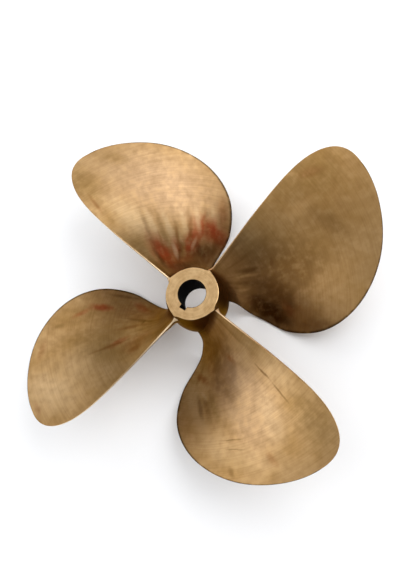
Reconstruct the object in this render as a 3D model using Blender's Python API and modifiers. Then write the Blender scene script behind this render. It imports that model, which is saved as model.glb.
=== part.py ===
"""A four-bladed, right-handed ship propeller, cast in one piece with its hub.

It lies with its shaft axis upright and its after (driving) side up, as a
propeller lies on a floor: on the leading edges of its four blades.
Metres, +Z up and aft along the shaft, with the origin on the axis at floor level.
Heights are measured from the point where the blades' generating line meets the axis,
until the whole casting is lifted to stand on the floor.
"""

import math

import bmesh
import bpy
import numpy as np

# Blades: a true helicoid face, with the thickness laid on the back
TIP_RADIUS = 0.457
BLADE_COUNT = 4
PITCH = 0.9725  # advance in one turn, at PITCH_STATION
PITCH_STATION = 0.6  # share of the tip radius
PITCH_FALL = 0.383  # what the pitch loses over one tip radius
RAKE_SLOPE = 0.206  # metres aft for each metre out along the generating line
ROOT_PITCH_LOSS = 0.88  # eased off towards the hub, turning the root about its trailing edge
ROOT_PITCH_REACH = 0.129  # radius out to which it is eased
ROOT_PITCH_CURVE = 2.1  # power with which it sets in
ROOT_THICKNESS = 0.024
TIP_THICKNESS = 0.0045
EDGE_THICKNESS = 0.0045  # at the leading edge
TRAILING_ROOT_THICKNESS = 0.0055  # of the blunt trailing edge, at the hub
TRAILING_TIP_THICKNESS = 0.0035
LEADING_FILLET = 0.033  # radius of the root fillet, narrowing along the blade's root
TRAILING_FILLET = 0.019
FILLET_PAST_LEADING = 0.0165
FILLET_PAST_TRAILING = 0.014
ROOT_SINK = 0.010  # how far a blade's foot is carried into the hub

# A blade's edge, as degrees of wrap from the generating line and shares of the tip
# radius: out along the leading edge, round the tip and in along the trailing edge
EDGE_POINTS = (
    (-17.4, 0.100),
    (-33.9, 0.145),
    (-41.5, 0.200),
    (-47.5, 0.260),
    (-55.4, 0.396),
    (-57.0, 0.500),
    (-53.5, 0.650),
    (-44.0, 0.791),
    (-30.0, 0.908),
    (-15.5, 0.978),
    (-5.0, 1.000),
    (1.5, 0.977),
    (5.9, 0.890),
    (8.6, 0.742),
    (9.9, 0.500),
    (10.6, 0.200),
    (14.0, 0.100),
)

# Hub: a turned barrel, bored with the shaft's taper
HUB_MIDDLE = 0.0163  # aft of the point where the generating line meets the axis
HUB_LENGTH = 0.0885
HUB_AFT_RADIUS = 0.0618
HUB_FORWARD_RADIUS = 0.072
HUB_BELLY = 0.0045  # how far its middle stands out from a straight taper
HUB_CHAMFER = 0.0015
FACING_REACH = 0.085  # radius inside which nothing of the blades stands above the after face
FACING_STEP = 0.0001  # how far under the after face they are cut off
BORE_AFT_RADIUS = 0.0325
BORE_TAPER = 1 / 12  # change of diameter with length
KEYWAY_WIDTH = 0.016
KEYWAY_DEPTH = 0.0055  # past the wall of the bore
KEYWAY_ANGLE = math.radians(-163)
CUT_MARGIN = 0.010

# Fineness of the solids
SPAN_ROWS = 32
CHORD_COLUMNS = 14
EDGE_SAMPLES = 24
HUB_SEGMENTS = 72
HUB_RINGS = 8
BORE_SEGMENTS = 48

BRONZE_COLOUR = (0.50, 0.33, 0.16, 1.0)
BRONZE_ROUGHNESS = 0.42
MERGE = 0.00005
SHARP_ANGLE = math.radians(35)


def clear_scene():
    for obj in list(bpy.data.objects):
        bpy.data.objects.remove(obj, do_unlink=True)


def new_collection(name):
    collection = bpy.data.collections.new(name)
    bpy.context.scene.collection.children.link(collection)
    return collection


def bronze():
    material = bpy.data.materials.new("cast_bronze")
    material.use_nodes = True
    shader = material.node_tree.nodes["Principled BSDF"]
    shader.inputs["Base Color"].default_value = BRONZE_COLOUR
    shader.inputs["Metallic"].default_value = 1.0
    shader.inputs["Roughness"].default_value = BRONZE_ROUGHNESS
    return material


def pitch_at(radius):
    return PITCH - PITCH_FALL * (radius / TIP_RADIUS - PITCH_STATION)


def root_pitch_loss(radius):
    share = (ROOT_PITCH_REACH - radius) / (ROOT_PITCH_REACH - HUB_AFT_RADIUS)
    return ROOT_PITCH_LOSS * max(share, 0.0) ** ROOT_PITCH_CURVE


def face_height(radius, angle, trailing):
    """Height of the blade's face over the generating line's foot, at a wrap angle."""
    turn = 2 * math.pi
    eased = root_pitch_loss(radius) * (trailing - angle) / turn
    return RAKE_SLOPE * radius + pitch_at(radius) * angle / turn + eased


def edge_curve():
    """The blade's edge as a Catmull-Rom curve: wrap angles and radii."""
    points = np.array([(math.radians(a), share * TIP_RADIUS) for a, share in EDGE_POINTS])
    padded = np.vstack([2 * points[0] - points[1], points, 2 * points[-1] - points[-2]])
    t = np.linspace(0, 1, EDGE_SAMPLES, endpoint=False)[:, None]
    runs = []
    for before, start, end, after in zip(padded, padded[1:], padded[2:], padded[3:]):
        straight = (end - before) * t
        bend = (2 * before - 5 * start + 4 * end - after) * t**2
        twist = (3 * start - before - 3 * end + after) * t**3
        runs.append(start + 0.5 * (straight + bend + twist))
    curve = np.vstack(runs + [points[-1:]])
    return curve[:, 0], curve[:, 1]


def edge_angles(radius, edge):
    """Wrap angles of the leading and the trailing edge at a radius."""
    angles, radii = edge
    tip = int(np.argmax(radii))
    leading = np.interp(radius, radii[: tip + 1], angles[: tip + 1])
    trailing = np.interp(radius, radii[tip:][::-1], angles[tip:][::-1])
    return leading, trailing


def blade_thickness(radius, share):
    """Thickness at a radius and a share of the chord: fullest amidships, blunt at the end."""
    outward = (radius - HUB_AFT_RADIUS) / (TIP_RADIUS - HUB_AFT_RADIUS)
    outward = min(max(outward, 0.0), 1.0)
    greatest = ROOT_THICKNESS + (TIP_THICKNESS - ROOT_THICKNESS) * outward
    blunt = TRAILING_ROOT_THICKNESS + (TRAILING_TIP_THICKNESS - TRAILING_ROOT_THICKNESS) * outward
    edge = EDGE_THICKNESS + (blunt - EDGE_THICKNESS) * share
    return edge + (greatest - edge) * 4 * share * (1 - share)


def fillet_at(radius, share):
    """How far the root fillet stands off the blade: a quarter round down to the hub."""
    fillet = LEADING_FILLET + (TRAILING_FILLET - LEADING_FILLET) * share
    rise = min(max(radius - HUB_AFT_RADIUS, 0.0), fillet)
    return fillet - math.sqrt(fillet**2 - (fillet - rise) ** 2)


def section(radius, edge):
    """The blade's cut at a radius: points across the face, then back across the back.

    The leading edge is one point, and the trailing edge a flat end as thick as the blade there.
    """
    leading, trailing = edge_angles(radius, edge)
    helix = math.atan2(pitch_at(radius) - root_pitch_loss(radius), 2 * math.pi * radius)
    along = math.cos(helix) / radius
    start = leading - FILLET_PAST_LEADING * fillet_at(radius, 0) / LEADING_FILLET * along
    end = trailing + FILLET_PAST_TRAILING * fillet_at(radius, 1) / TRAILING_FILLET * along
    face, back = [], []
    for column in range(CHORD_COLUMNS + 1):
        share = 0.5 - 0.5 * math.cos(math.pi * column / CHORD_COLUMNS)
        angle = start + share * (end - start)
        height = face_height(radius, angle, trailing)
        spread = fillet_at(radius, share)
        if share < 0.5:
            spread *= min(1.0, 48 * share * (1 - share))
        depths = [-spread, blade_thickness(radius, share) + spread]
        if column == 0:
            depths = [EDGE_THICKNESS / 2]
        for points, depth in zip((face, back), depths):
            turned = angle + depth * math.sin(helix) / radius
            x, y = radius * math.cos(turned), radius * math.sin(turned)
            points.append((x, y, height - depth * math.cos(helix)))
    return face + back[::-1]


def blade_mesh():
    """One blade: sections lofted from inside the hub to the tip, closed at both ends."""
    edge = edge_curve()
    foot = HUB_AFT_RADIUS - ROOT_SINK
    reach = float(edge[1].max()) - foot
    mesh = bmesh.new()
    rings = []
    for row in range(SPAN_ROWS + 1):
        share = 0.5 - 0.5 * math.cos(math.pi * row / (SPAN_ROWS + 0.5))
        rings.append([mesh.verts.new(point) for point in section(foot + reach * share, edge)])
    for lower, upper in zip(rings, rings[1:]):
        for i in range(len(lower)):
            mesh.faces.new((lower[i - 1], lower[i], upper[i], upper[i - 1]))
    mesh.faces.new(rings[0])
    mesh.faces.new(rings[-1])
    bmesh.ops.recalc_face_normals(mesh, faces=mesh.faces)
    data = bpy.data.meshes.new("blade")
    mesh.to_mesh(data)
    mesh.free()
    return data


def turned_solid(name, profile, segments, collection):
    """A solid turned about Z, from a profile of (radius, height) run down its outer side."""
    mesh = bmesh.new()
    verts = [mesh.verts.new((radius, 0.0, height)) for radius, height in profile]
    for upper, lower in zip(verts, verts[1:]):
        mesh.edges.new((upper, lower))
    data = bpy.data.meshes.new(name)
    mesh.to_mesh(data)
    mesh.free()
    obj = bpy.data.objects.new(name, data)
    collection.objects.link(obj)
    screw = obj.modifiers.new("turn", "SCREW")
    screw.axis = "Z"
    screw.steps = segments
    screw.render_steps = segments
    screw.use_merge_vertices = True
    screw.merge_threshold = MERGE
    return obj


def as_cutter(obj):
    obj.hide_render = True
    obj.display_type = "WIRE"
    return obj


def hub(lift, parts):
    """The hub's barrel, smaller at its after end, as the body of the casting."""
    aft = lift + HUB_MIDDLE + HUB_LENGTH / 2
    forward = aft - HUB_LENGTH
    profile = [(0.0, aft), (HUB_AFT_RADIUS - HUB_CHAMFER, aft)]
    for ring in range(HUB_RINGS + 1):
        share = ring / HUB_RINGS
        taper = HUB_AFT_RADIUS + (HUB_FORWARD_RADIUS - HUB_AFT_RADIUS) * share
        height = aft - HUB_CHAMFER - (HUB_LENGTH - 2 * HUB_CHAMFER) * share
        profile.append((taper + 4 * HUB_BELLY * share * (1 - share), height))
    profile += [(HUB_FORWARD_RADIUS - HUB_CHAMFER, forward), (0.0, forward)]
    return turned_solid("propeller_casting", profile, HUB_SEGMENTS, parts)


def faced(lift, data, cutters):
    """The blade's mesh, with its root faced off level with the hub's after face."""
    aft = lift + HUB_MIDDLE + HUB_LENGTH / 2
    low, high = aft - FACING_STEP, aft + 4 * CUT_MARGIN
    profile = ((0.0, high), (FACING_REACH, high), (FACING_REACH, low), (0.0, low))
    facing = as_cutter(turned_solid("facing_cutter", profile, BORE_SEGMENTS, cutters))
    blade = bpy.data.objects.new("whole_blade", data)
    blade.location.z = lift
    cutters.objects.link(blade)
    combine(blade, facing, "DIFFERENCE")
    bpy.context.view_layer.update()
    evaluated = blade.evaluated_get(bpy.context.evaluated_depsgraph_get())
    cut = bpy.data.meshes.new_from_object(evaluated)
    bpy.data.objects.remove(blade)
    bpy.data.objects.remove(facing)
    return cut


def blades(lift, data, cutters):
    """The four blades as solids for the hub to take in."""
    made = []
    for number in range(BLADE_COUNT):
        blade = bpy.data.objects.new(f"blade_{number + 1}", data)
        blade.location.z = lift
        blade.rotation_euler.z = 2 * math.pi * number / BLADE_COUNT
        cutters.objects.link(blade)
        made.append(as_cutter(blade))
    return made


def bore(lift, cutters):
    """The shaft's bore, widening forward with the taper."""
    top = lift + HUB_MIDDLE + HUB_LENGTH / 2 + CUT_MARGIN
    bottom = top - HUB_LENGTH - 2 * CUT_MARGIN
    top_radius = BORE_AFT_RADIUS - CUT_MARGIN * BORE_TAPER / 2
    bottom_radius = top_radius + (top - bottom) * BORE_TAPER / 2
    profile = ((0.0, top), (top_radius, top), (bottom_radius, bottom), (0.0, bottom))
    return as_cutter(turned_solid("bore_cutter", profile, BORE_SEGMENTS, cutters))


def keyway(lift, cutters):
    """A key's slot down the wall of the bore, sloped as the bore is."""
    middle_bore = BORE_AFT_RADIUS + HUB_LENGTH * BORE_TAPER / 4
    length = HUB_LENGTH + 2 * CUT_MARGIN
    mesh = bmesh.new()
    bmesh.ops.create_cube(mesh, size=1.0)
    bmesh.ops.scale(mesh, vec=(middle_bore, KEYWAY_WIDTH, length), verts=mesh.verts)
    bmesh.ops.translate(mesh, vec=(-middle_bore / 2, 0.0, 0.0), verts=mesh.verts)
    data = bpy.data.meshes.new("keyway_cutter")
    mesh.to_mesh(data)
    mesh.free()
    slot = bpy.data.objects.new("keyway_cutter", data)
    outer = middle_bore + KEYWAY_DEPTH
    slot.location = (
        outer * math.cos(KEYWAY_ANGLE),
        outer * math.sin(KEYWAY_ANGLE),
        lift + HUB_MIDDLE,
    )
    slot.rotation_euler = (0.0, math.atan(BORE_TAPER / 2), KEYWAY_ANGLE)
    cutters.objects.link(slot)
    return as_cutter(slot)


def combine(body, tool, operation):
    boolean = body.modifiers.new(f"{operation.lower()}_{tool.name}", "BOOLEAN")
    boolean.object = tool
    boolean.operation = operation


def settle(obj):
    """Make the modifiers' result the object's own mesh, smooth but for its true corners."""
    evaluated = obj.evaluated_get(bpy.context.evaluated_depsgraph_get())
    obj.data = bpy.data.meshes.new_from_object(evaluated)
    obj.modifiers.clear()
    obj.data.shade_smooth()
    obj.data.set_sharp_from_angle(angle=SHARP_ANGLE)


def propeller():
    parts = new_collection("ship_propeller")
    cutters = new_collection("cutters")
    blade_data = blade_mesh()
    lift = -min(vertex.co.z for vertex in blade_data.vertices)
    casting = hub(lift, parts)
    for blade in blades(lift, faced(lift, blade_data, cutters), cutters):
        combine(casting, blade, "UNION")
    combine(casting, bore(lift, cutters), "DIFFERENCE")
    combine(casting, keyway(lift, cutters), "DIFFERENCE")
    settle(casting)
    casting.data.materials.clear()
    casting.data.materials.append(bronze())


def main():
    clear_scene()
    propeller()


if __name__ == "__main__":
    main()
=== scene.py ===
"""The looks of a four-bladed ship propeller, cast in bronze in one piece with its hub.

It lies with its shaft axis upright and its after, driving side up, on a plain pale floor.
Metres, with +Z up and aft along the shaft and the origin on the axis at floor level.
Blade 1's generating line runs along +X, and the others follow a quarter turn apart.
"""

import logging
import math
from dataclasses import dataclass, field, replace
from enum import Enum
from typing import Any

import bmesh
import bpy
import numpy as np
from bpy.types import GeometryNodeTree, ID, Material, Node, NodeSocket, NodeTree, Object
from mathutils import Matrix, Vector

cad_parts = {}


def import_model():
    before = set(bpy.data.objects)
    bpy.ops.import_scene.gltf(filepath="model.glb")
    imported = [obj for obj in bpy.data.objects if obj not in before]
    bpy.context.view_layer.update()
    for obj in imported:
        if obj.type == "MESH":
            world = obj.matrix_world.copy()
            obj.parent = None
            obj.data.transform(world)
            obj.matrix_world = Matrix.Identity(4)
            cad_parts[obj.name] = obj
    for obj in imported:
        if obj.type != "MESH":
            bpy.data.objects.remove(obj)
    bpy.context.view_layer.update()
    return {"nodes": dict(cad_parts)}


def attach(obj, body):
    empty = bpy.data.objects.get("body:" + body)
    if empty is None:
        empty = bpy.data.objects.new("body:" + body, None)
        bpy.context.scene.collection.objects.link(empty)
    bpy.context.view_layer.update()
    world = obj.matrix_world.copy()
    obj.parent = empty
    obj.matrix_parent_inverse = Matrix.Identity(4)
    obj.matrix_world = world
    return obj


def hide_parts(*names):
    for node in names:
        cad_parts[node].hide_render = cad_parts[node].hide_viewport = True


Pair = tuple[float, float]

LOG = logging.getLogger("ship_propeller")

BODY = "root"
CASTING_NODE = "propeller_casting"
MM = 0.001
FULL_TURN = 2 * math.pi
HUB_RADIUS = 0.0618  # at the after face, where the blades' fillets end
PHOTO_SPIN = math.radians(-39.13)  # from the photograph's frame to the propeller's

FLUTE_REACH = (0.26, 0.11)  # how far out the disc's flutes end, and where they are full
BROWN = "#67471F"
SHADED = "#2E1E10"


class Surface(Enum):
    """The finishes of the casting, by the order of its material slots."""

    CAST = 0
    MACHINED = 1
    BORED = 2


def linear(colour: str) -> tuple[float, float, float, float]:
    """Turn an sRGB hex colour into the linear values that a shader takes.

    Args:
        colour: Six hex digits after a hash sign.

    Returns:
        Linear red, green and blue, with a full alpha.
    """
    shares = [int(colour[i : i + 2], 16) / 255 for i in (1, 3, 5)]
    red, green, blue = (s / 12.92 if s <= 0.04045 else ((s + 0.055) / 1.055) ** 2.4 for s in shares)
    return red, green, blue, 1.0


def add_node(
    tree: NodeTree, kind: str, inputs: dict[Any, Any] | None = None, **settings: Any
) -> Node:
    """Add a node to a tree with its settings, its input values and its links.

    Args:
        tree: The tree that takes the node.
        kind: The node's type.
        inputs: A value, a socket or a list of sockets for each input, by name or number.
        settings: The node's own properties.

    Returns:
        The new node.
    """
    node = tree.nodes.new(kind)
    for name, value in settings.items():
        setattr(node, name, value)
    for key, value in (inputs or {}).items():
        for item in value if isinstance(value, list) else [value]:
            if isinstance(item, NodeSocket):
                tree.links.new(item, node.inputs[key])
            else:
                node.inputs[key].default_value = item
    return node


def add_object(name: str, data: ID) -> Object:
    """Add an object to the scene.

    Args:
        name: The object's name.
        data: Its mesh, lamp or camera.

    Returns:
        The object, at the origin.
    """
    obj = bpy.data.objects.new(name, data)
    bpy.context.scene.collection.objects.link(obj)
    return obj


def new_material(name: str, values: dict[str, Any]) -> tuple[Material, Node]:
    """Start a material.

    Args:
        name: The material's name.
        values: What is the same all over the surface, by the shader's own sockets.

    Returns:
        The material and its shader.
    """
    material = bpy.data.materials.new(name)
    material.use_nodes = True
    shader = material.node_tree.nodes["Principled BSDF"]
    for socket, value in values.items():
        shader.inputs[socket].default_value = value
    return material, shader


def mask(tree: NodeTree, whole: Any, *parts: tuple[Any, Pair]) -> Any:
    """Let something show only where each of several patterns lets it.

    Args:
        tree: The tree that takes the nodes.
        whole: How strongly it shows where every pattern is full, as a value or a socket.
        parts: Each pattern, with where it starts and where it is full.

    Returns:
        How strongly it shows.
    """
    for value, (low, high) in parts:
        inputs = {"Value": value, "From Min": low, "From Max": high, "To Max": whole}
        whole = add_node(tree, "ShaderNodeMapRange", inputs).outputs[0]
    return whole


def laid(tree: NodeTree, colour: Any, *coats: tuple[Any, Any]) -> Any:
    """Lay coats over a colour, each colour being a socket or a hex value.

    Args:
        tree: The tree that takes the nodes.
        colour: The colour below.
        coats: How strongly each coat covers, and its colour.

    Returns:
        The colour on top.
    """
    for share, coat in coats:
        under, over = (linear(c) if isinstance(c, str) else c for c in (colour, coat))
        inputs = {0: share, 6: under, 7: over}
        colour = add_node(tree, "ShaderNodeMix", inputs, data_type="RGBA").outputs[2]
    return colour


def relief(tree: NodeTree, *layers: tuple[Any, float]) -> Any:
    """Stack patterns into one relief.

    Args:
        tree: The tree that takes the nodes.
        layers: Each pattern, with its real depth.

    Returns:
        The normal of the relief.
    """
    normal = None
    for height, depth in layers:
        inputs = {"Height": height, "Distance": depth, "Strength": 1.0}
        if normal is not None:
            inputs["Normal"] = normal
        normal = add_node(tree, "ShaderNodeBump", inputs).outputs[0]
    return normal


def from_axis(tree: NodeTree, spot: Any) -> NodeSocket:
    """Measure the distance from the shaft axis.

    Args:
        tree: The tree that takes the nodes.
        spot: The place on the object.

    Returns:
        The distance.
    """
    inputs = {0: spot, 1: (1.0, 1.0, 0.0)}
    flat = add_node(tree, "ShaderNodeVectorMath", inputs, operation="MULTIPLY").outputs[0]
    away = add_node(tree, "ShaderNodeVectorMath", {0: flat}, operation="LENGTH")
    return away.outputs["Value"]


def mesh_object(name: str, vertices: np.ndarray, faces: list[tuple[int, ...]]) -> Object:
    """Make an object from points and faces, with its faces turned outwards.

    Args:
        name: The object's name.
        vertices: The points, one row each.
        faces: The corners of each face, as row numbers.

    Returns:
        The object, at the origin and in the scene.
    """
    data = bpy.data.meshes.new(name)
    data.from_pydata(vertices.tolist(), [], faces)
    mesh = bmesh.new()
    mesh.from_mesh(data)
    bmesh.ops.recalc_face_normals(mesh, faces=mesh.faces)
    mesh.to_mesh(data)
    mesh.free()
    return add_object(name, data)


def turned(name: str, profile: list[Pair], segments: int) -> Object:
    """Turn a profile about the shaft axis into a closed solid.

    Args:
        name: The object's name.
        profile: Radius and height of each point, from the upper end of the axis to the lower.
        segments: How many steps make the full turn.

    Returns:
        The solid.
    """
    angles = np.arange(segments) * FULL_TURN / segments
    rings = [
        np.column_stack([r * np.cos(angles), r * np.sin(angles), np.full(segments, z)])
        for r, z in profile[1:-1]
    ]
    top, bottom = len(rings) * segments, len(rings) * segments + 1
    ends = [(0.0, 0.0, profile[0][1]), (0.0, 0.0, profile[-1][1])]
    faces = []
    for step in range(segments):
        after = (step + 1) % segments
        faces.append((top, step, after))
        for ring in range(len(rings) - 1):
            upper, lower = ring * segments, (ring + 1) * segments
            faces.append((upper + step, lower + step, lower + after, upper + after))
        last = (len(rings) - 1) * segments
        faces.append((bottom, last + after, last + step))
    return mesh_object(name, np.vstack([*rings, ends]), faces)


@dataclass
class Blade:
    """One blade: a helicoid face, with the thickness laid on its back."""

    tip_radius: float = 0.457
    pitch: float = 0.9725
    pitch_station: float = 0.6
    pitch_fall: float = 0.383
    rake_slope: float = 0.206
    root_pitch_loss: float = 0.88
    root_pitch_reach: float = 0.129
    root_pitch_curve: float = 2.1
    root_thickness: float = 0.024
    tip_thickness: float = 0.0045
    edge_thickness: float = 0.0045
    trailing_root_thickness: float = 0.0055
    trailing_tip_thickness: float = 0.0035
    trailing_round: float = 0.0008
    leading_fillet: float = 0.033
    trailing_fillet: float = 0.019
    fillet_past_leading: float = 0.0165
    fillet_past_trailing: float = 0.014
    root_sink: float = 0.010
    fillet_fade: float = 12.0
    tip_run: float = 4.0
    hub_radius: float = HUB_RADIUS
    rows: int = 110
    columns: int = 60
    edge_samples: int = 24
    # The blade's edge, from the leading root round the tip to the trailing root: degrees of wrap,
    # and shares of the tip radius.
    edge_points: tuple[Pair, ...] = (
        (-17.4, 0.100), (-33.9, 0.145), (-41.5, 0.200), (-47.5, 0.260), (-55.4, 0.396),
        (-57.0, 0.500), (-53.5, 0.650), (-44.0, 0.791), (-30.0, 0.908), (-15.5, 0.978),
        (-5.0, 1.000), (1.5, 0.977), (5.9, 0.890), (8.6, 0.742), (9.9, 0.500),
        (10.6, 0.200), (14.0, 0.100),
    )

    def edge(self) -> tuple[np.ndarray, np.ndarray]:
        """Draw the smooth edge curve through the edge points.

        Returns:
            Wrap angles and radii along the curve, from the leading root round to the trailing one.
        """
        points = np.array([(math.radians(a), s * self.tip_radius) for a, s in self.edge_points])
        padded = np.vstack([2 * points[0] - points[1], points, 2 * points[-1] - points[-2]])
        t = np.linspace(0, 1, self.edge_samples, endpoint=False)[:, None]
        runs = []
        for before, start, end, after in zip(padded, padded[1:], padded[2:], padded[3:]):
            straight = (end - before) * t
            bend = (2 * before - 5 * start + 4 * end - after) * t**2
            twist = (3 * start - before - 3 * end + after) * t**3
            runs.append(start + 0.5 * (straight + bend + twist))
        curve = np.vstack([*runs, points[-1:]])
        return curve[:, 0], curve[:, 1]

    def fillet(self, radius: np.ndarray, share: np.ndarray | float) -> np.ndarray:
        """Measure how far the root fillet stands off the blade.

        Args:
            radius: Distances from the axis.
            share: Shares of the chord, from the leading edge.

        Returns:
            The stand-off, a quarter round that ends on the hub.
        """
        size = self.leading_fillet + (self.trailing_fillet - self.leading_fillet) * share
        rise = np.clip(radius - self.hub_radius, 0.0, size)
        return size - np.sqrt(size**2 - (size - rise) ** 2)

    def surface(self) -> tuple[np.ndarray, np.ndarray, dict[str, np.ndarray]]:
        """Work out the points of the face and of the back.

        Returns:
            The face's points and the back's points, as rows by columns by three, and what each
            place on the blade is: its chord share, wrap angle and distance from the edge.
        """
        angles, radii = self.edge()
        tip = int(np.argmax(radii))
        foot = self.hub_radius - self.root_sink
        spread = 0.5 - 0.5 * np.cos(math.pi * np.arange(self.rows + 1) / (self.rows + 0.5))
        radius = (foot + (radii[tip] - foot) * spread)[:, None]
        leading = np.interp(radius, radii[: tip + 1], angles[: tip + 1])
        trailing = np.interp(radius, radii[tip:][::-1], angles[tip:][::-1])
        pitch = self.pitch - self.pitch_fall * (radius / self.tip_radius - self.pitch_station)
        near = (self.root_pitch_reach - radius) / (self.root_pitch_reach - self.hub_radius)
        loss = self.root_pitch_loss * np.maximum(near, 0.0) ** self.root_pitch_curve
        helix = np.arctan2(pitch - loss, FULL_TURN * radius)
        along = np.cos(helix) / radius
        past_leading = self.fillet_past_leading / self.leading_fillet
        past_trailing = self.fillet_past_trailing / self.trailing_fillet
        start = leading - past_leading * self.fillet(radius, 0.0) * along
        end = trailing + past_trailing * self.fillet(radius, 1.0) * along
        share = (0.5 - 0.5 * np.cos(math.pi * np.arange(self.columns + 1) / self.columns))[None, :]
        angle = start + share * (end - start)
        climb = pitch * angle + loss * (trailing - angle)
        height = self.rake_slope * radius + climb / FULL_TURN
        fullness = 4 * share * (1 - share)
        outward = np.clip((radius - self.hub_radius) / (self.tip_radius - self.hub_radius), 0, 1)
        greatest = self.root_thickness + (self.tip_thickness - self.root_thickness) * outward
        thinning = self.trailing_tip_thickness - self.trailing_root_thickness
        blunt = self.trailing_root_thickness + thinning * outward
        edge = self.edge_thickness + (blunt - self.edge_thickness) * share
        thickness = edge + (greatest - edge) * fullness
        arc = radius / np.cos(helix)
        from_leading = np.minimum((angle - start) * arc, self.tip_run * (radii[tip] - radius))
        from_trailing = (end - angle) * arc
        nose, bevel = self.edge_thickness / 2, self.trailing_round
        swell = np.sqrt(1 - (1 - np.clip(from_leading / nose, 0, 1)) ** 2)
        corner = bevel - bevel * np.sqrt(1 - (1 - np.clip(from_trailing / bevel, 0, 1)) ** 2)
        fading = np.where(share < 0.5, np.minimum(1, self.fillet_fade * fullness), 1)
        stand_off = self.fillet(radius, share) * fading
        face = nose * (1 - swell) + corner - stand_off
        back = nose + (thickness - nose) * swell - corner + stand_off
        sides = []
        for depth in (face, back):
            around = angle + depth * np.sin(helix) / radius
            z = height - depth * np.cos(helix)
            sides.append(np.stack([radius * np.cos(around), radius * np.sin(around), z], axis=-1))
        places = {
            "chord_share": np.broadcast_to(share, angle.shape),
            "wrap": angle,
            "from_edge": np.minimum(from_leading, from_trailing),
        }
        return sides[0], sides[1], places

    def build(self) -> Object:
        """Loft the blade as one closed mesh.

        Returns:
            The blade, with its places stored as attributes.
        """
        face, back, places = self.surface()
        rows = face.shape[0]
        ring = np.concatenate([face, back[:, :0:-1]], axis=1)
        size = ring.shape[1]
        faces: list[tuple[int, ...]] = []
        for row in range(rows - 1):
            low, high = row * size, (row + 1) * size
            for i in range(size):
                j = (i + 1) % size
                faces.append((low + i, low + j, high + j, high + i))
        faces.append(tuple(range(size)))
        faces.append(tuple(range((rows - 1) * size, rows * size)))
        obj = mesh_object("blade", ring.reshape(-1, 3), faces)
        flat = np.zeros(face.shape[:2])
        sides = {name: (values, values) for name, values in places.items()}
        sides["on_face"] = (flat + 1, flat)
        for name, (front, behind) in sides.items():
            whole = np.concatenate([front, behind[:, :0:-1]], axis=1)
            layer = obj.data.attributes.new(name, "FLOAT", "POINT")
            layer.data.foreach_set("value", whole.astype(np.float32).ravel())
        return obj


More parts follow.
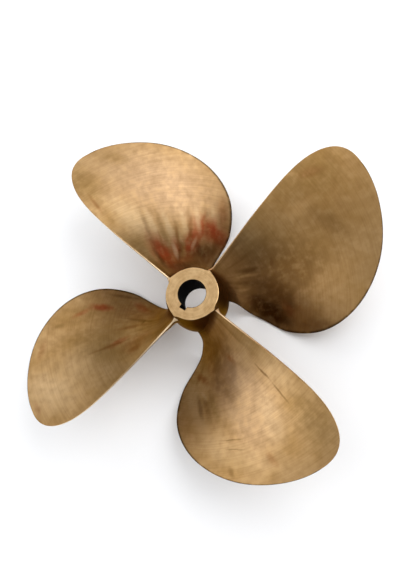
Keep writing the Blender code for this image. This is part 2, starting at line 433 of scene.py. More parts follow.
@dataclass
class Hub:
    """The hub: a turned barrel with a tapered bore and a keyway."""

    lift: float = 0.0  # height of the generating lines' foot above the floor
    middle: float = 0.0163
    length: float = 0.0885
    aft_radius: float = HUB_RADIUS
    forward_radius: float = 0.072
    belly: float = 0.0045
    rounding: float = 0.0015
    support: float = 0.0012
    bore_radius: float = 0.0325
    bore_taper: float = 1 / 12
    bore_chamfer: float = 0.0008
    keyway_width: float = 0.016
    keyway_depth: float = 0.0055
    keyway_angle: float = math.radians(-163)
    cut_margin: float = 0.010
    facing_reach: float = 0.085
    facing_height: float = 0.040
    facing_step: float = 0.0001
    segments: int = 192
    bore_segments: int = 128
    barrel_rings: int = 24
    corner_steps: int = 4

    @property
    def aft(self) -> float:
        """The height of the after face."""
        return self.lift + self.middle + self.length / 2

    @property
    def forward(self) -> float:
        """The height of the forward face."""
        return self.aft - self.length

    @property
    def forward_bore(self) -> float:
        """The bore's radius at the forward face."""
        return self.bore_radius + self.length * self.bore_taper / 2

    def corner(self, radius: float, height: float, upper: bool) -> list[Pair]:
        """Round a rim of the barrel.

        Args:
            radius: The barrel's radius at the rim.
            height: The height of the end face.
            upper: Whether it is the upper rim.

        Returns:
            Radius and height of each point, from the top down.
        """
        size, way = self.rounding, 1 if upper else -1
        inner = (radius - size - self.support, height)
        points = []
        for step in range(self.corner_steps + 1):
            turn = math.pi / 2 * step / self.corner_steps
            out = radius - size + size * math.sin(turn)
            points.append((out, height - way * size * (1 - math.cos(turn))))
        points.insert(0, inner)
        return points if upper else points[::-1]

    def barrel(self) -> Object:
        """Turn the barrel.

        Returns:
            The barrel, with no bore yet.
        """
        upper = self.corner(self.aft_radius, self.aft, upper=True)
        lower = self.corner(self.forward_radius, self.forward, upper=False)
        (high_r, high_z), (low_r, low_z) = upper[-1], lower[0]
        side = []
        for ring in range(1, self.barrel_rings):
            share = ring / self.barrel_rings
            swell = 4 * self.belly * share * (1 - share)
            radius = high_r + (low_r - high_r) * share + swell
            side.append((radius, high_z + (low_z - high_z) * share))
        profile = [(0.0, self.aft), *upper, *side, *lower, (0.0, self.forward)]
        return turned("hub_barrel", profile, self.segments)

    def facing(self) -> Object:
        """Turn the cutter that faces off what stands above the after face.

        Returns:
            The cutter.
        """
        low, high = self.aft - self.facing_step, self.aft + self.facing_height
        reach = self.facing_reach
        profile = [(0.0, high), (reach, high), (reach, low), (0.0, low)]
        return turned("facing_cutter", profile, self.bore_segments)

    def bore(self) -> Object:
        """Turn the cutter for the bore, with a small chamfer at both mouths.

        Returns:
            The cutter.
        """
        chamfer, upper, lower = self.bore_chamfer, self.bore_radius, self.forward_bore
        above, below = self.aft + self.cut_margin, self.forward - self.cut_margin
        profile = [
            (0.0, above),
            (upper + chamfer, above),
            (upper + chamfer, self.aft),
            (upper, self.aft - chamfer),
            (lower, self.forward + chamfer),
            (lower + chamfer, self.forward),
            (lower + chamfer, below),
            (0.0, below),
        ]
        return turned("bore_cutter", profile, self.bore_segments)

    def keyway(self) -> Object:
        """Make the cutter for the keyway, sloped as the bore is.

        Returns:
            The cutter, with its place in its mesh.
        """
        middle = self.bore_radius + self.length * self.bore_taper / 4
        mesh = bmesh.new()
        bmesh.ops.create_cube(mesh, size=1.0)
        length = self.length + 2 * self.cut_margin
        bmesh.ops.scale(mesh, vec=(middle, self.keyway_width, length), verts=mesh.verts)
        outer = middle + self.keyway_depth
        place = (
            Matrix.Rotation(self.keyway_angle, 4, "Z")
            @ Matrix.Translation((outer, 0.0, self.lift + self.middle))
            @ Matrix.Rotation(math.atan(self.bore_taper / 2), 4, "Y")
            @ Matrix.Translation((-middle / 2, 0.0, 0.0))
        )
        bmesh.ops.transform(mesh, matrix=place, verts=mesh.verts)
        data = bpy.data.meshes.new("keyway_cutter")
        mesh.to_mesh(data)
        mesh.free()
        return add_object("keyway_cutter", data)


@dataclass
class Viewpoint:
    """The camera, at the photograph's angle and with its framing."""

    image_width: int = 400
    image_height: int = 575
    sensor: float = 36.0
    focal_pixels: float = 502.0
    principal: Pair = (166.0, 327.5)
    nod: float = math.radians(11.94)
    lean: float = math.radians(15.59)
    spin: float = PHOTO_SPIN
    place: tuple[float, float, float] = (-0.0112, -0.3915, 1.2598)

    def turn(self) -> Matrix:
        """Give the camera's rotation."""
        lean = Matrix.Rotation(self.lean, 3, "Y") @ Matrix.Rotation(self.nod, 3, "X")
        return Matrix.Rotation(self.spin, 3, "Z") @ lean

    def find(self, casting: Object, pixel: Pair) -> Vector:
        """Find the point of the casting that shows at a pixel of the photograph.

        Args:
            casting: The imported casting.
            pixel: Across from the left and down from the top.

        Returns:
            The point.
        """
        across = (pixel[0] - self.principal[0]) / self.focal_pixels
        up = (self.principal[1] - pixel[1]) / self.focal_pixels
        ray = (self.turn() @ Vector((across, up, -1.0))).normalized()
        hit, point, _, _ = casting.ray_cast(Vector(self.place), ray)
        if not hit:
            raise ValueError(f"pixel {pixel} shows no part of the casting")
        return point

    def build(self) -> None:
        """Set up the scene's camera."""
        data = bpy.data.cameras.new("camera")
        data.sensor_width = self.sensor
        data.lens = self.focal_pixels / self.image_height * self.sensor
        data.shift_x = (self.image_width / 2 - self.principal[0]) / self.image_height
        data.shift_y = (self.principal[1] - self.image_height / 2) / self.image_height
        camera = add_object("camera", data)
        placed = self.turn().to_4x4()
        placed.translation = Vector(self.place)
        camera.matrix_world = placed
        bpy.context.scene.camera = camera


@dataclass(frozen=True)
class StainAndShade:
    """A soft patch or streak of another tone, placed by where it shows in the photograph: mostly
    stains, with one painted shade on the barrel.

    Its ends and its width are in the photograph's pixels.
    """

    start: Pair
    end: Pair
    width: float
    tone: str
    strength: float


RED = "#943A20"
RUST = "#7C4826"
UMBER = "#583A1B"
DARK = "#331503"
OLIVE = "#7A5F34"
TAN = "#96703C"
PALE = "#CBB089"
WORN = "#A88B66"
BUFF = "#A0866B"
GOLD = "#BA9462"

# The stains on each blade, and a painted shade on the barrel below the hub: start, end, width, tone
# and strength.
UPPER_LEFT_STAINS = (
    ((120, 172), (205, 200), 84.0, BUFF, 0.70),
    ((116, 204), (148, 232), 26.0, PALE, 0.55),
    ((142, 238), (166, 264), 9.0, GOLD, 0.70),
    ((172, 258), (216, 250), 30.0, RUST, 0.72),
    ((212, 236), (222, 244), 14.0, UMBER, 0.55),
    ((152, 246), (174, 270), 5.0, UMBER, 0.70),
    ((150, 234), (176, 270), 18.0, RED, 0.85),
    ((158, 244), (170, 262), 9.0, RED, 0.75),
    ((174, 236), (181, 264), 10.0, RED, 0.72),
    ((198, 226), (184, 260), 15.0, RED, 0.85),
    ((193, 233), (187, 250), 8.0, RED, 0.75),
    ((200, 224), (224, 242), 24.0, RED, 0.75),
    ((204, 225), (217, 233), 10.0, RED, 0.55),
    ((156, 226), (166, 254), 3.0, RUST, 0.55),
    ((175, 220), (180, 256), 3.5, RUST, 0.50),
    ((192, 214), (188, 248), 4.0, RUST, 0.60),
    ((206, 208), (200, 244), 4.0, RED, 0.50),
    ((215, 214), (214, 238), 5.0, RED, 0.45),
    ((190, 254), (219, 247), 13.0, UMBER, 0.65),
    ((162, 262), (214, 252), 15.0, UMBER, 0.34),
    ((166, 267), (208, 260), 8.0, DARK, 0.45),
    ((153, 248), (168, 270), 4.5, DARK, 0.62),
    ((182, 240), (178, 264), 4.5, DARK, 0.60),
    ((196, 242), (204, 258), 8.0, DARK, 0.50),
    ((88, 194), (103, 214), 4.0, RUST, 0.50),
    ((74, 176), (94, 194), 28.0, OLIVE, 0.55),
    ((100, 156), (126, 160), 12.0, OLIVE, 0.45),
    ((222, 196), (224, 234), 10.0, RUST, 0.55),
    ((136, 200), (158, 256), 5.0, UMBER, 0.32),
    ((143, 204), (160, 240), 6.0, PALE, 0.42),
    ((152, 202), (172, 258), 5.5, UMBER, 0.34),
    ((161, 208), (176, 244), 6.5, PALE, 0.50),
    ((172, 208), (182, 258), 6.5, UMBER, 0.32),
    ((180, 206), (187, 236), 6.0, PALE, 0.40),
    ((188, 200), (192, 250), 5.5, UMBER, 0.34),
    ((196, 206), (200, 234), 6.0, PALE, 0.48),
    ((204, 192), (207, 240), 6.0, UMBER, 0.36),
    ((212, 206), (215, 224), 5.5, PALE, 0.35),
    ((172, 240), (178, 260), 4.5, PALE, 0.55),
    ((184, 240), (183, 260), 4.5, OLIVE, 0.60),
    ((197, 236), (191, 250), 3.5, PALE, 0.40),
)
RIGHT_STAINS = (
    ((320, 180), (310, 270), 120.0, TAN, 0.58),
    ((284, 180), (330, 162), 44.0, OLIVE, 0.40),
    ((254, 262), (308, 270), 50.0, UMBER, 0.66),
    ((320, 290), (352, 258), 30.0, GOLD, 0.40),
    ((250, 282), (300, 308), 26.0, UMBER, 0.70),
    ((246, 297), (292, 325), 19.0, DARK, 1.0),
    ((249, 298), (286, 321), 15.0, DARK, 0.95),
    ((284, 304), (294, 316), 9.0, RUST, 0.60),
    ((226, 250), (240, 300), 40.0, RUST, 0.25),
    ((220, 274), (228, 304), 16.0, UMBER, 0.30),
    ((236, 300), (262, 314), 9.0, DARK, 0.50),
    ((232, 272), (268, 266), 4.0, UMBER, 0.75),
    ((233, 277), (262, 273), 2.6, GOLD, 0.45),
    ((234, 283), (262, 282), 4.0, UMBER, 0.75),
    ((236, 290), (252, 288), 2.6, GOLD, 0.35),
    ((284, 218), (312, 200), 13.0, GOLD, 0.50),
    ((314, 212), (346, 232), 16.0, UMBER, 0.30),
    ((300, 176), (322, 168), 9.0, RUST, 0.30),
    ((336, 300), (366, 290), 14.0, GOLD, 0.25),
    ((296, 296), (306, 312), 8.0, GOLD, 0.30),
    ((300, 324), (334, 326), 10.0, UMBER, 0.40),
    ((271, 258), (272, 266), 4.0, UMBER, 0.45),
)
LEFT_STAINS = (
    ((70, 330), (130, 320), 70.0, TAN, 0.40),
    ((124, 310), (166, 312), 34.0, RUST, 0.42),
    ((122, 350), (150, 332), 16.0, RUST, 0.45),
    ((92, 306), (112, 309), 10.0, RED, 0.80),
    ((72, 318), (92, 308), 6.0, RED, 0.45),
    ((134, 302), (149, 313), 9.0, RED, 0.45),
    ((108, 348), (128, 337), 8.0, RED, 0.65),
    ((84, 356), (132, 338), 3.4, RUST, 0.75),
    ((128, 353), (142, 344), 8.0, RUST, 0.60),
    ((120, 318), (160, 321), 4.0, UMBER, 0.50),
    ((112, 331), (150, 323), 5.0, RUST, 0.50),
    ((104, 294), (146, 300), 5.0, UMBER, 0.45),
    ((38, 362), (46, 340), 7.0, RUST, 0.35),
    ((34, 402), (40, 414), 6.0, RUST, 0.45),
    ((142, 324), (146, 320), 3.0, UMBER, 0.60),
    ((56, 327), (64, 325), 5.0, OLIVE, 0.50),
    ((40, 392), (84, 366), 56.0, PALE, 0.26),
    ((36, 384), (66, 404), 34.0, PALE, 0.30),
    ((76, 344), (112, 352), 34.0, OLIVE, 0.40),
)
LOWER_STAINS_AND_SHADE = (
    ((208, 344), (214, 360), 26.0, TAN, 0.40),
    ((190, 388), (204, 436), 18.0, PALE, 0.32),
    ((210, 330), (226, 392), 40.0, RUST, 0.45),
    ((205, 326), (232, 380), 24.0, UMBER, 0.55),
    ((213, 336), (218, 400), 8.0, UMBER, 0.65),
    # Painted shade on the barrel just below the after face.
    ((186, 325), (204, 329), 10.0, DARK, 0.75),
    ((222, 294), (224, 312), 10.0, DARK, 0.65),
    ((206, 330), (208, 350), 8.0, UMBER, 0.60),
    ((226, 340), (238, 402), 11.0, UMBER, 0.62),
    ((236, 372), (256, 430), 56.0, BUFF, 0.70),
    ((196, 374), (208, 384), 9.0, RUST, 0.70),
    ((227, 354), (234, 363), 6.0, RUST, 0.50),
    ((198, 394), (203, 424), 6.0, UMBER, 0.55),
    ((201, 392), (207, 400), 4.0, PALE, 0.35),
    ((210, 392), (220, 426), 9.0, OLIVE, 0.50),
    ((220, 378), (238, 408), 15.0, UMBER, 0.45),
    ((204, 396), (211, 424), 8.0, UMBER, 0.45),
    ((253, 362), (272, 382), 1.8, UMBER, 0.80),
    ((270, 380), (291, 406), 1.8, UMBER, 0.70),
    ((262, 352), (298, 396), 20.0, PALE, 0.28),
    ((240, 400), (270, 420), 40.0, WORN, 0.55),
    ((262, 396), (280, 440), 20.0, PALE, 0.28),
    ((200, 440), (262, 466), 26.0, PALE, 0.28),
    ((298, 400), (330, 444), 28.0, OLIVE, 0.50),
    ((268, 454), (276, 464), 7.0, RUST, 0.40),
    ((218, 441), (246, 439), 1.6, UMBER, 0.50),
    ((222, 449), (248, 450), 1.4, UMBER, 0.40),
    ((230, 468), (233, 478), 5.0, UMBER, 0.35),
)


@dataclass(frozen=True)
class Coat:
    """A tone that covers the bronze where each of its patterns lets it.

    Each span says where on its pattern the coat starts, and where it is full.
    """

    tone: str
    cover: float
    spans: tuple[tuple[str, Pair], ...]


@dataclass(frozen=True)
class CastBronze:
    """Sand-cast bronze, fettled with a disc and rubbed bright, then tanned by handling.

    The disc leaves low waves that break up its reflections, and arcs about the shaft. Where the
    rubbing didn't reach, at the roots, the tan stays brown and red.
    """

    gold: str = "#AE8E63"
    grazing: str = "#F2CFA0"
    rough: Pair = (0.36, 0.50)
    attributes: tuple[str, ...] = ("on_face", "from_edge", "chord_share", "wrap", "blade_number")

    # Clouds, by real size and detail.
    clouds: tuple[tuple[str, float, float], ...] = (
        ("mottle", 60 * MM, 5.0),
        ("specks", 17 * MM, 6.0),
        ("waves", 50 * MM, 1.0),
        ("grain", 6 * MM, 3.0),
    )
    # The disc's marks, by what runs across them, their repeats along it, their real length
    # outwards and their roughness. Real arcs are finer: these are drawn coarse enough to show.
    marks: tuple[tuple[str, str, float, float, float], ...] = (
        ("streaks", "chord_share", 13.0, 120 * MM, 0.4),
        ("arcs", "wrap", 1 / 0.30, 3.6 * MM, 0.5),
    )
    mark_detail: float = 2.0
    blade_step: float = 7.3
    wave_depth: float = 0.8 * MM
    streak_depth: float = 0.6 * MM
    arc_depth: float = 0.02 * MM
    grain_depth: float = 0.05 * MM

    # Olive clouds, tanned roots, the barrel in their shade, and brown flutes.
    under_coats: tuple[Coat, ...] = (
        Coat("#977647", 0.70, (("mottle", (0.35, 0.68)),)),
        Coat("#7A5527", 0.70, (("radius", (0.17, 0.06)),)),
        Coat(SHADED, 0.65, (("radius", (0.080, 0.068)),)),
        Coat(BROWN, 0.55, (("streaks", (0.50, 0.70)), ("radius", FLUTE_REACH))),
    )
    # Specks and arcs, the dark leading edge, partly tarnish and mostly painted shade, and the flat
    # end of the trailing edge, rubbed bright and painted paler as a highlight.
    over_coats: tuple[Coat, ...] = (
        Coat(BROWN, 0.30, (("specks", (0.36, 0.74)),)),
        Coat(BROWN, 0.24, (("arcs", (0.42, 0.80)),)),
        # The dark leading edge: partly tarnish, mostly painted shade along the rounded edge.
        Coat(
            SHADED,
            0.90,
            (
                ("from_edge", (9.5 * MM, 2.85 * MM)),
                ("chord_share", (0.6, 0.4)),
                ("specks", (0.15, 0.50)),
                ("radius", (0.072, 0.080)),
            ),
        ),
        # The flat end of the trailing edge: rubbed bright, and painted paler still as a highlight.
        Coat(
            "#F0D8B4",
            0.95,
            (("on_face", (0.02, 0.10)), ("on_face", (0.98, 0.90)), ("chord_share", (0.97, 0.99))),
        ),
    )

    # The stains and the painted shade show on the blades' faces and on the hub, thinner where the
    # specks are low.
    face_span: Pair = (0.4, 0.6)
    hub_span: Pair = (0.085, 0.075)
    thin_span: Pair = (0.30, 0.52)
    thin_cover: float = 0.65
    patch_wander: float = 9 * MM
    wander_size: float = 22 * MM
    wander_detail: float = 3.0
    wander_shares: tuple[Pair, ...] = ((0.0, 0.25), (5.5, 0.5), (10.5, 1.0))  # by width
    pixel_size: float = 2.34 * MM  # what a pixel of the photograph spans on the blades
    patch_spread: float = 0.45
    patch_full: float = 0.85
    patch_height: float = 1000.0
    stains_and_shade: tuple[StainAndShade, ...] = tuple(
        StainAndShade(*row) for row in UPPER_LEFT_STAINS + RIGHT_STAINS + LEFT_STAINS + LOWER_STAINS_AND_SHADE
    )

    def build(self, casting: Object, viewpoint: Viewpoint) -> Material:
        """Build the material.

        Args:
            casting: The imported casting, which the stains are placed on.
            viewpoint: The camera that the stains are placed through.

        Returns:
            The material.
        """
        values = {"Metallic": 1.0, "Specular Tint": linear(self.grazing)}
        material, shader = new_material("fettled_cast_bronze", values)
        tree = material.node_tree
        spot = add_node(tree, "ShaderNodeTexCoord").outputs["Object"]
        patterns = self.patterns(tree, spot)
        colour = self.coated(tree, self.gold, self.under_coats, patterns)
        stained_and_shaded = self.stained_and_shaded(tree, spot, colour, casting, viewpoint)
        colour = laid(tree, colour, (self.patch_cover(tree, patterns), stained_and_shaded))
        colour = self.coated(tree, colour, self.over_coats, patterns)
        tree.links.new(colour, shader.inputs["Base Color"])
        inputs = {"Value": patterns["specks"], "To Min": self.rough[0], "To Max": self.rough[1]}
        rough = add_node(tree, "ShaderNodeMapRange", inputs).outputs[0]
        tree.links.new(rough, shader.inputs["Roughness"])
        flutes = mask(tree, patterns["streaks"], (patterns["radius"], FLUTE_REACH))
        normal = relief(
            tree,
            (patterns["waves"], self.wave_depth),
            (flutes, self.streak_depth),
            (patterns["arcs"], self.arc_depth),
            (patterns["grain"], self.grain_depth),
        )
        tree.links.new(normal, shader.inputs["Normal"])
        return material

    def patterns(self, tree: NodeTree, spot: Any) -> dict[str, NodeSocket]:
        """Make the patterns that the coats and the relief follow.

        Each blade's marks follow its own directions, so that no two blades are alike.

        Args:
            tree: The material's tree.
            spot: The place on the object.

        Returns:
            The patterns by name, and the blades' stored places with them.
        """
        patterns = {"radius": from_axis(tree, spot)}
        for name in self.attributes:
            stored = add_node(tree, "ShaderNodeAttribute", attribute_name=name)
            patterns[name] = stored.outputs["Fac"]
        for name, size, detail in self.clouds:
            inputs = {"Vector": spot, "Scale": 1 / size, "Detail": detail}
            patterns[name] = add_node(tree, "ShaderNodeTexNoise", inputs).outputs[0]
        for name, across, repeats, length, roughness in self.marks:
            inputs = {0: patterns[across], 1: patterns["radius"], 2: patterns["blade_number"]}
            place = add_node(tree, "ShaderNodeCombineXYZ", inputs).outputs[0]
            inputs = {0: place, 1: (repeats, 1 / length, self.blade_step)}
            steps = add_node(tree, "ShaderNodeVectorMath", inputs, operation="MULTIPLY").outputs[0]
            inputs = {"Vector": steps, "Scale": 1.0, "Detail": self.mark_detail}
            inputs["Roughness"] = roughness
            patterns[name] = add_node(tree, "ShaderNodeTexNoise", inputs).outputs[0]
        return patterns

    def coated(self, tree: NodeTree, colour: Any, coats: tuple[Coat, ...], patterns: Any) -> Any:
        """Lay coats over a colour.

        Args:
            tree: The material's tree.
            colour: The colour below.
            coats: The coats, from the lowest up.
            patterns: The patterns by name.

        Returns:
            The colour on top.
        """
        for coat in coats:
            parts = [(patterns[name], span) for name, span in coat.spans]
            colour = laid(tree, colour, (mask(tree, coat.cover, *parts), coat.tone))
        return colour

    def patch_cover(self, tree: NodeTree, patterns: Any) -> NodeSocket:
        """Say how strongly the stains and the painted shade cover.

        Args:
            tree: The material's tree.
            patterns: The patterns by name.

        Returns:
            The strength.
        """
        sides = (("on_face", self.face_span), ("radius", self.hub_span))
        inputs = {i: mask(tree, 1.0, (patterns[n], span)) for i, (n, span) in enumerate(sides)}
        shown = add_node(tree, "ShaderNodeMath", inputs, operation="MAXIMUM").outputs[0]
        low, high = self.thin_span
        inputs = {"Value": patterns["specks"], "From Min": low, "From Max": high}
        inputs["To Min"] = self.thin_cover
        inputs = {0: add_node(tree, "ShaderNodeMapRange", inputs).outputs[0], 1: shown}
        return add_node(tree, "ShaderNodeMath", inputs, operation="MULTIPLY").outputs[0]

    def stained_and_shaded(
        self,
        tree: NodeTree,
        spot: Any,
        colour: Any,
        casting: Object,
        viewpoint: Viewpoint,
    ) -> Any:
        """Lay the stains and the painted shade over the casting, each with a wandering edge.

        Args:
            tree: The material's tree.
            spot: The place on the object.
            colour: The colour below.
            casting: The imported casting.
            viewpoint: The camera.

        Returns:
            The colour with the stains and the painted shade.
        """
        inputs = {"Vector": spot, "Scale": 1 / self.wander_size, "Detail": self.wander_detail}
        cloud = add_node(tree, "ShaderNodeTexNoise", inputs).outputs["Color"]
        inputs = {0: cloud, 1: (0.5, 0.5, 0.5)}
        about = add_node(tree, "ShaderNodeVectorMath", inputs, operation="SUBTRACT").outputs[0]
        spots = []
        for _, share in self.wander_shares:
            inputs = {0: about, 1: (2 * share * self.patch_wander,) * 3, 2: spot}
            moved = add_node(tree, "ShaderNodeVectorMath", inputs, operation="MULTIPLY_ADD")
            spots.append(moved.outputs[0])
        bpy.context.view_layer.update()
        for patch in self.stains_and_shade:
            level = sum(patch.width > width for width, _ in self.wander_shares[1:])
            start, end = (viewpoint.find(casting, pixel) for pixel in (patch.start, patch.end))
            run = end - start
            half = patch.width / 2 * self.pixel_size * (1 + self.patch_spread)
            inputs = {0: spots[level]}
            ball = add_node(tree, "ShaderNodeTexGradient", inputs, gradient_type="SPHERICAL")
            ball.texture_mapping.vector_type = "TEXTURE"
            ball.texture_mapping.translation = (start + end) / 2
            ball.texture_mapping.rotation = (0.0, 0.0, math.atan2(run.y, run.x))
            ball.texture_mapping.scale = (run.xy.length / 2 + half, half, self.patch_height)
            inputs = {"Value": ball.outputs["Fac"], "From Max": self.patch_full}
            inputs["To Max"] = patch.strength
            soft = add_node(tree, "ShaderNodeMapRange", inputs, interpolation_type="SMOOTHSTEP")
            colour = laid(tree, colour, (soft.outputs[0], patch.tone))
        return colour


@dataclass(frozen=True)
class MachinedBronze:
    """Bronze turned bright in a lathe: pale, with fine rings that catch the light."""

    tone: str = "#DCB988"
    worn: str = "#B48D5C"
    rough: float = 0.34
    ring_spacing: float = 1.8 * MM  # drawn coarser than the tool's real feed, so that it shows
    ring_depth: float = 0.02 * MM
    ring_detail: float = 2.0
    cloud_size: float = 14 * MM
    cloud_detail: float = 3.0
    wear_span: Pair = (0.8, 1.35)

    def build(self) -> Material:
        """Build the material.

        Returns:
            The material.
        """
        values = {"Metallic": 1.0, "Roughness": self.rough}
        material, shader = new_material("turned_bronze", values)
        tree = material.node_tree
        spot = add_node(tree, "ShaderNodeTexCoord").outputs["Object"]
        outwards = add_node(tree, "ShaderNodeCombineXYZ", {"X": from_axis(tree, spot)}).outputs[0]
        patterns = []
        for place, size, detail in (
            (spot, self.cloud_size, self.cloud_detail),
            (outwards, self.ring_spacing, self.ring_detail),
        ):
            inputs = {"Vector": place, "Scale": 1 / size, "Detail": detail}
            patterns.append(add_node(tree, "ShaderNodeTexNoise", inputs).outputs[0])
        inputs = dict(enumerate(patterns))
        both = add_node(tree, "ShaderNodeMath", inputs, operation="ADD").outputs[0]
        colour = laid(tree, self.tone, (mask(tree, 1.0, (both, self.wear_span)), self.worn))
        tree.links.new(colour, shader.inputs["Base Color"])
        normal = relief(tree, (patterns[1], self.ring_depth))
        tree.links.new(normal, shader.inputs["Normal"])
        return material


@dataclass(frozen=True)
class BoredBronze:
    """The bore's wall, painted near black as the shade inside the bore."""

    # Near black: painted shade for the inside of the bore.
    tone: str = "#040303"
    rough: float = 0.9
    shine: float = 0.05

    def build(self) -> Material:
        """Build the material.

        Returns:
            The material.
        """
        values = {
            "Base Color": linear(self.tone),
            "Roughness": self.rough,
            "Specular IOR Level": self.shine,
        }
        return new_material("bore_painted_shade", values)[0]


@dataclass
class Propeller:
    """The whole casting: four blades on a bored hub."""

    blade: Blade = field(default_factory=Blade)
    hub: Hub = field(default_factory=Hub)
    blade_count: int = 4
    face_skin: float = 0.0003
    bore_skin: float = 0.0006
    sharp_angle: float = math.radians(38)

    def tree(self, values: dict[str, Any], materials: dict[Surface, Material]) -> GeometryNodeTree:
        """Build the geometry tree that joins the blades to the barrel and cuts the bore.

        Args:
            values: The tree's parts and sizes, by the names of its inputs.
            materials: The finish of each surface.

        Returns:
            The tree, with an input for the barrel and one for each value.
        """
        tree = bpy.data.node_groups.new("propeller", "GeometryNodeTree")
        kinds = {Object: "Object", int: "Int", float: "Float"}
        sockets = {"Barrel": "Geometry"} | {n: kinds[type(v)] for n, v in values.items()}
        for name, kind in sockets.items():
            tree.interface.new_socket(name, in_out="INPUT", socket_type=f"NodeSocket{kind}")
        tree.interface.new_socket("Casting", in_out="OUTPUT", socket_type="NodeSocketGeometry")
        given = add_node(tree, "NodeGroupInput").outputs
        meshes = []
        for name in ("Blade", "Facing", "Bore", "Keyway"):
            part = add_node(tree, "GeometryNodeObjectInfo", {"Object": given[name]})
            meshes.append(part.outputs["Geometry"])
        blade, facing, bore, keyway = meshes
        boolean = "GeometryNodeMeshBoolean"
        inputs = {"Mesh 1": blade, "Mesh 2": [facing]}
        faced = add_node(tree, boolean, inputs, operation="DIFFERENCE", solver="MANIFOLD")
        start = add_node(tree, "GeometryNodeRepeatInput")
        end = add_node(tree, "GeometryNodeRepeatOutput")
        start.pair_with_output(end)
        tree.links.new(given["Blade Count"], start.inputs["Iterations"])
        tree.links.new(given["Barrel"], start.inputs["Geometry"])
        number = start.outputs["Iteration"]
        inputs = {0: FULL_TURN, 1: given["Blade Count"]}
        step = add_node(tree, "ShaderNodeMath", inputs, operation="DIVIDE").outputs[0]
        inputs = {0: number, 1: step}
        turn = add_node(tree, "ShaderNodeMath", inputs, operation="MULTIPLY").outputs[0]
        axis = add_node(tree, "ShaderNodeCombineXYZ", {"Z": turn}).outputs[0]
        inputs = {"Geometry": faced.outputs[0], "Rotation": axis}
        placed = add_node(tree, "GeometryNodeTransform", inputs).outputs[0]
        inputs = {"Geometry": placed, "Name": "blade_number", "Value": number}
        store = "GeometryNodeStoreNamedAttribute"
        numbered = add_node(tree, store, inputs, data_type="FLOAT", domain="POINT")
        inputs = {"Mesh 2": [start.outputs["Geometry"], numbered.outputs[0]]}
        joined = add_node(tree, boolean, inputs, operation="UNION", solver="MANIFOLD")
        tree.links.new(joined.outputs[0], end.inputs["Geometry"])
        inputs = {"Mesh 1": end.outputs["Geometry"], "Mesh 2": [bore, keyway]}
        cut = add_node(tree, boolean, inputs, operation="DIFFERENCE", solver="MANIFOLD")
        finished = self.finished(tree, given, cut.outputs[0], materials)
        add_node(tree, "NodeGroupOutput", {0: finished})
        return tree

    def finished(
        self,
        tree: GeometryNodeTree,
        given: Any,
        geometry: Any,
        materials: dict[Surface, Material],
    ) -> Any:
        """Smooth the casting but for its true corners, and give each surface its finish.

        Args:
            tree: The tree.
            given: The tree's own inputs.
            geometry: The casting so far.
            materials: The finish of each surface.

        Returns:
            The finished casting.
        """
        bend = add_node(tree, "GeometryNodeInputMeshEdgeAngle").outputs["Unsigned Angle"]
        spot = add_node(tree, "GeometryNodeInputPosition").outputs[0]
        height = add_node(tree, "ShaderNodeSeparateXYZ", {0: spot}).outputs["Z"]
        away = from_axis(tree, spot)
        answers = []
        for value, operation, limit in (
            (bend, "GREATER_THAN", "Sharp Angle"),
            (height, "GREATER_THAN", "Faced Above"),
            (height, "LESS_THAN", "Faced Below"),
            (away, "LESS_THAN", "Faced Within"),
            (away, "LESS_THAN", "Bored Within"),
        ):
            inputs = {0: value, 1: given[limit]}
            test = add_node(tree, "FunctionNodeCompare", inputs, operation=operation)
            answers.append(test.outputs[0])
        sharp, above, below, near, bored = answers
        shade = "GeometryNodeSetShadeSmooth"
        smooth = add_node(tree, shade, {0: geometry, "Shade Smooth": True}).outputs[0]
        inputs = {0: smooth, "Selection": sharp, "Shade Smooth": False}
        creased = add_node(tree, shade, inputs, domain="EDGE").outputs[0]
        output = add_node(tree, "GeometryNodeRealizeInstances", {0: creased}).outputs[0]
        inputs = {0: above, 1: below}
        ends = add_node(tree, "FunctionNodeBooleanMath", inputs, operation="OR").outputs[0]
        inputs = {0: ends, 1: near}
        faced = add_node(tree, "FunctionNodeBooleanMath", inputs, operation="AND").outputs[0]
        selections = {Surface.CAST: True, Surface.MACHINED: faced, Surface.BORED: bored}
        for surface, selection in selections.items():
            inputs = {0: output, "Selection": selection, "Material": materials[surface]}
            output = add_node(tree, "GeometryNodeSetMaterial", inputs).outputs[0]
        return output

    def build(self, materials: dict[Surface, Material]) -> Object:
        """Build the casting as one plain mesh.

        Args:
            materials: The finish of each surface.

        Returns:
            The casting.
        """
        blade = self.blade.build()
        lift = -min(vertex.co.z for vertex in blade.data.vertices)
        blade.data.transform(Matrix.Translation((0.0, 0.0, lift)))
        hub = replace(self.hub, lift=lift)
        barrel = hub.barrel()
        parts = {
            "Blade": blade,
            "Facing": hub.facing(),
            "Bore": hub.bore(),
            "Keyway": hub.keyway(),
        }
        values = parts | {
            "Blade Count": self.blade_count,
            "Sharp Angle": self.sharp_angle,
            "Faced Above": hub.aft - self.face_skin,
            "Faced Below": hub.forward + self.face_skin,
            "Faced Within": hub.forward_radius + self.face_skin,
            "Bored Within": hub.forward_bore + self.bore_skin,
        }
        tree = self.tree(values, materials)
        modifier = barrel.modifiers.new("propeller", "NODES")
        modifier.node_group = tree
        for item in tree.interface.items_tree:
            if item.in_out == "INPUT" and item.name in values:
                modifier[item.identifier] = values[item.name]
        bpy.context.view_layer.update()
        evaluated = barrel.evaluated_get(bpy.context.evaluated_depsgraph_get())
        data = bpy.data.meshes.new_from_object(evaluated)
        data.name = "propeller"
        casting = add_object("propeller", data)
        for part in (barrel, *parts.values()):
            bpy.data.objects.remove(part)
        return casting


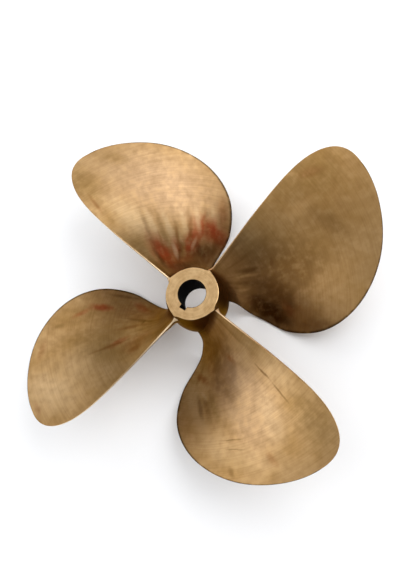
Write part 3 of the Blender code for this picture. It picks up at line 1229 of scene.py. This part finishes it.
@dataclass(frozen=True)
class Softbox:
    """A soft lamp that hangs round the propeller and faces it."""

    name: str
    toward: tuple[float, float, float]
    size: Pair
    power: float
    distance: float = 2.4

    def build(self, spin: float, target: Vector) -> None:
        """Hang the lamp.

        Args:
            spin: The turn from the photograph's frame to the propeller's.
            target: What the lamp faces.
        """
        data = bpy.data.lights.new(self.name, "AREA")
        data.shape = "RECTANGLE"
        data.size, data.size_y = self.size
        data.energy = self.power
        lamp = add_object(self.name, data)
        way = (Matrix.Rotation(spin, 3, "Z") @ Vector(self.toward)).normalized()
        lamp.location = target + way * self.distance
        lamp.rotation_mode = "QUATERNION"
        lamp.rotation_quaternion = way.to_track_quat("Z", "Y")


@dataclass
class Studio:
    """A plain pale floor under soft light."""

    floor_size: float = 24.0
    floor_tone: str = "#F4F5F7"
    floor_rough: float = 0.85
    floor_shine: float = 0.1
    sky_bright: float = 0.80
    sky_tint: str = "#FFFFFF"
    spin: float = PHOTO_SPIN
    target: tuple[float, float, float] = (0.0, 0.0, 0.12)
    lamps: tuple[Softbox, ...] = (
        Softbox("right_softbox", (0.55, 0.25, 0.75), (1.6, 1.6), 25.0),
        Softbox("low_right_softbox", (0.85, 0.10, 0.45), (1.2, 1.2), 10.0),
        Softbox("upper_left_softbox", (-0.45, 0.65, 0.62), (1.6, 1.2), 9.5),
        Softbox("upper_right_softbox", (0.25, 0.75, 0.60), (1.4, 1.0), 10.0),
        Softbox("left_softbox", (-0.84, -0.13, 0.50), (1.4, 1.2), 19.0),
        Softbox("bottom_softbox", (-0.15, -0.80, 0.55), (1.4, 1.2), 8.0),
    )

    def floor(self) -> None:
        """Lay the floor."""
        half = self.floor_size / 2
        corners = np.array([(-half, -half, 0), (half, -half, 0), (half, half, 0), (-half, half, 0)])
        floor = mesh_object("floor", corners, [(0, 1, 2, 3)])
        values = {
            "Base Color": linear(self.floor_tone),
            "Roughness": self.floor_rough,
            "Specular IOR Level": self.floor_shine,
        }
        material, _ = new_material("pale_floor", values)
        floor.data.materials.append(material)

    def sky(self) -> None:
        """Light the room from above, dark towards its walls."""
        world = bpy.data.worlds.new("studio")
        bpy.context.scene.world = world
        world.use_nodes = True
        tree = world.node_tree
        way = add_node(tree, "ShaderNodeTexCoord").outputs["Generated"]
        height = add_node(tree, "ShaderNodeSeparateXYZ", {0: way}).outputs["Z"]
        inputs = {"Value": height, "To Max": self.sky_bright}
        strength = add_node(tree, "ShaderNodeMapRange", inputs)
        shine = tree.nodes["Background"]
        shine.inputs["Color"].default_value = linear(self.sky_tint)
        tree.links.new(strength.outputs[0], shine.inputs["Strength"])

    def build(self) -> None:
        """Set up the floor, the sky and the lamps."""
        self.floor()
        self.sky()
        for lamp in self.lamps:
            lamp.build(self.spin, Vector(self.target))
        bpy.context.scene.view_settings.view_transform = "Standard"


def main() -> None:
    """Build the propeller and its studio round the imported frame."""
    logging.basicConfig(level=logging.INFO, format="%(name)s: %(message)s")
    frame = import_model()
    viewpoint = Viewpoint()
    materials = {
        Surface.CAST: CastBronze().build(frame["nodes"][CASTING_NODE], viewpoint),
        Surface.MACHINED: MachinedBronze().build(),
        Surface.BORED: BoredBronze().build(),
    }
    casting = Propeller().build(materials)
    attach(casting, BODY)
    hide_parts(CASTING_NODE)
    LOG.info("propeller: %d faces", len(casting.data.polygons))
    Studio().build()
    viewpoint.build()


if __name__ == "__main__":
    main()
